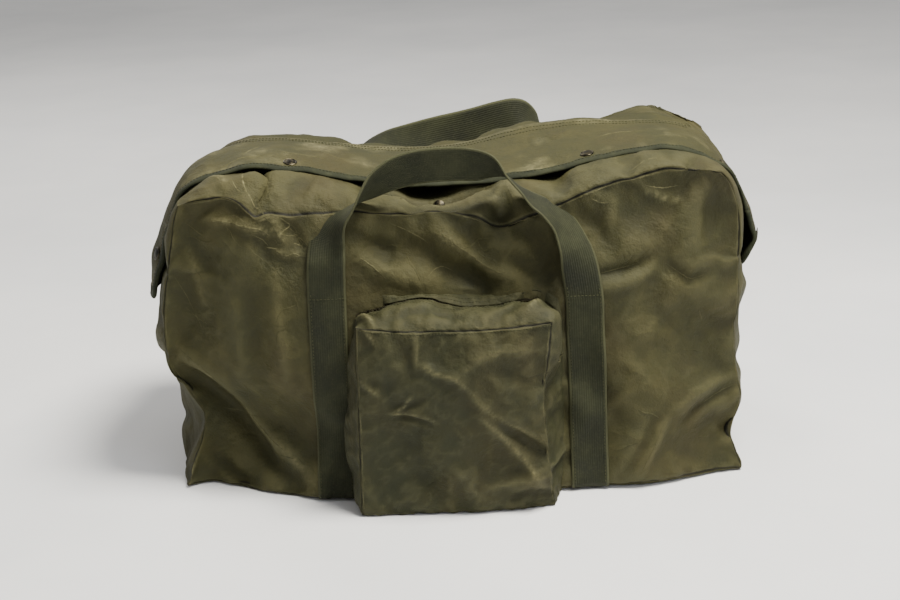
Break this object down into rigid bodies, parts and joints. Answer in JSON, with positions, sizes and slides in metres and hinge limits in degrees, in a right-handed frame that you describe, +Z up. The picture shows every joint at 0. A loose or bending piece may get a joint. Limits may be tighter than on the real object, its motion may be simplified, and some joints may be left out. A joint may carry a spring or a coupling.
{
  "type": "duffel bag",
  "caption": "Soft canvas duffel with a zipped top under a storm flap, two webbing carry handles and a zipped patch pocket on the front.",
  "frame": {"origin": "centre of the bottom panel's underside, where the bag stands", "axes": "+X along the bag to the right seen from the front, -Y towards the front with the pocket, +Z up"},
  "size_m": [0.6308, 0.368, 0.3683],
  "materials": {
    "body_canvas": "waxed cotton canvas, worn",
    "pocket_canvas": "waxed cotton canvas, creased",
    "flap_canvas": "waxed cotton canvas, worn pale on its folds",
    "webbing": "ribbed cotton webbing",
    "cotton_tape": "woven cotton tape",
    "brass_zip": "dulled brass",
    "blackened_zip": "blackened metal, worn bright on its edges",
    "blackened_stud": "blackened metal, worn"
  },
  "bodies": {
    "bag": {"front_panel": "body_canvas", "rear_panel": "body_canvas", "bottom_panel": "body_canvas", "left_end_panel": "body_canvas", "right_end_panel": "body_canvas", "front_top_strip": "body_canvas", "rear_top_strip": "body_canvas", "front_seam_binding": "cotton_tape", "rear_seam_binding": "cotton_tape", "front_zip_tape": "cotton_tape", "rear_zip_tape": "cotton_tape", "front_zip_teeth": "brass_zip", "rear_zip_teeth": "brass_zip", "zip_stops": "brass_zip", "flap_hem": "flap_canvas", "snap_studs": "blackened_stud", "front_handle_legs": "webbing", "rear_handle_legs": "webbing", "pocket_front": "pocket_canvas", "pocket_left_gusset": "pocket_canvas", "pocket_right_gusset": "pocket_canvas", "pocket_bottom": "pocket_canvas", "pocket_front_lip": "pocket_canvas", "pocket_rear_lip": "pocket_canvas", "pocket_front_tape": "cotton_tape", "pocket_rear_tape": "cotton_tape", "pocket_front_teeth": "blackened_zip", "pocket_rear_teeth": "blackened_zip", "pocket_zip_stops": "blackened_zip"},
    "flap": {"storm_flap": "flap_canvas", "flap_edge_tape": "cotton_tape", "flap_snap_caps": "blackened_stud", "flap_snap_sockets": "blackened_stud"},
    "left_tongue": {"left_tongue": "flap_canvas", "left_tongue_tape": "cotton_tape", "left_tongue_snap": "blackened_stud"},
    "right_tongue": {"right_tongue": "flap_canvas", "right_tongue_tape": "cotton_tape", "right_tongue_snap": "blackened_stud"},
    "front_handle": {"front_handle": "webbing"},
    "rear_handle": {"rear_handle": "webbing"},
    "main_slider": {"zip_slider": "brass_zip"},
    "main_pull": {"zip_pull": "brass_zip"},
    "pocket_slider": {"pocket_zip_slider": "blackened_zip"},
    "pocket_pull": {"pocket_zip_pull": "blackened_zip"}
  },
  "joints": [
    {"name": "storm_flap_lift", "type": "hinge", "parent": "bag", "child": "flap", "pos_m": [0, 0.035, 0.3227], "axis": [-1, 0, 0], "range_deg": [0, 120]},
    {"name": "left_tongue_lift", "type": "hinge", "parent": "flap", "child": "left_tongue", "pos_m": [-0.3142, -0.038, 0.28], "axis": [0, 1, 0], "range_deg": [0, 110]},
    {"name": "right_tongue_lift", "type": "hinge", "parent": "flap", "child": "right_tongue", "pos_m": [0.3142, -0.038, 0.28], "axis": [0, -1, 0], "range_deg": [0, 110]},
    {"name": "front_handle_swing", "type": "hinge", "parent": "bag", "child": "front_handle", "pos_m": [0, -0.144, 0.24], "axis": [1, 0, 0], "range_deg": [0, 130]},
    {"name": "rear_handle_swing", "type": "hinge", "parent": "bag", "child": "rear_handle", "pos_m": [0, 0.144, 0.24], "axis": [-1, 0, 0], "range_deg": [0, 165]},
    {"name": "main_zip_slide", "type": "slide", "parent": "bag", "child": "main_slider", "axis": [-1, 0, 0], "range_m": [0, 0.488]},
    {"name": "main_pull_swing", "type": "hinge", "parent": "main_slider", "child": "main_pull", "pos_m": [0.244, 0, 0.3232], "axis": [0, 1, 0], "range_deg": [0, 14]},
    {"name": "pocket_zip_slide", "type": "slide", "parent": "bag", "child": "pocket_slider", "axis": [-1, 0, 0], "range_m": [0, 0.167]},
    {"name": "pocket_pull_swing", "type": "hinge", "parent": "pocket_slider", "child": "pocket_pull", "pos_m": [0.0835, -0.162, 0.2129], "axis": [0, 1, 0], "range_deg": [0, 180]}
  ]
}
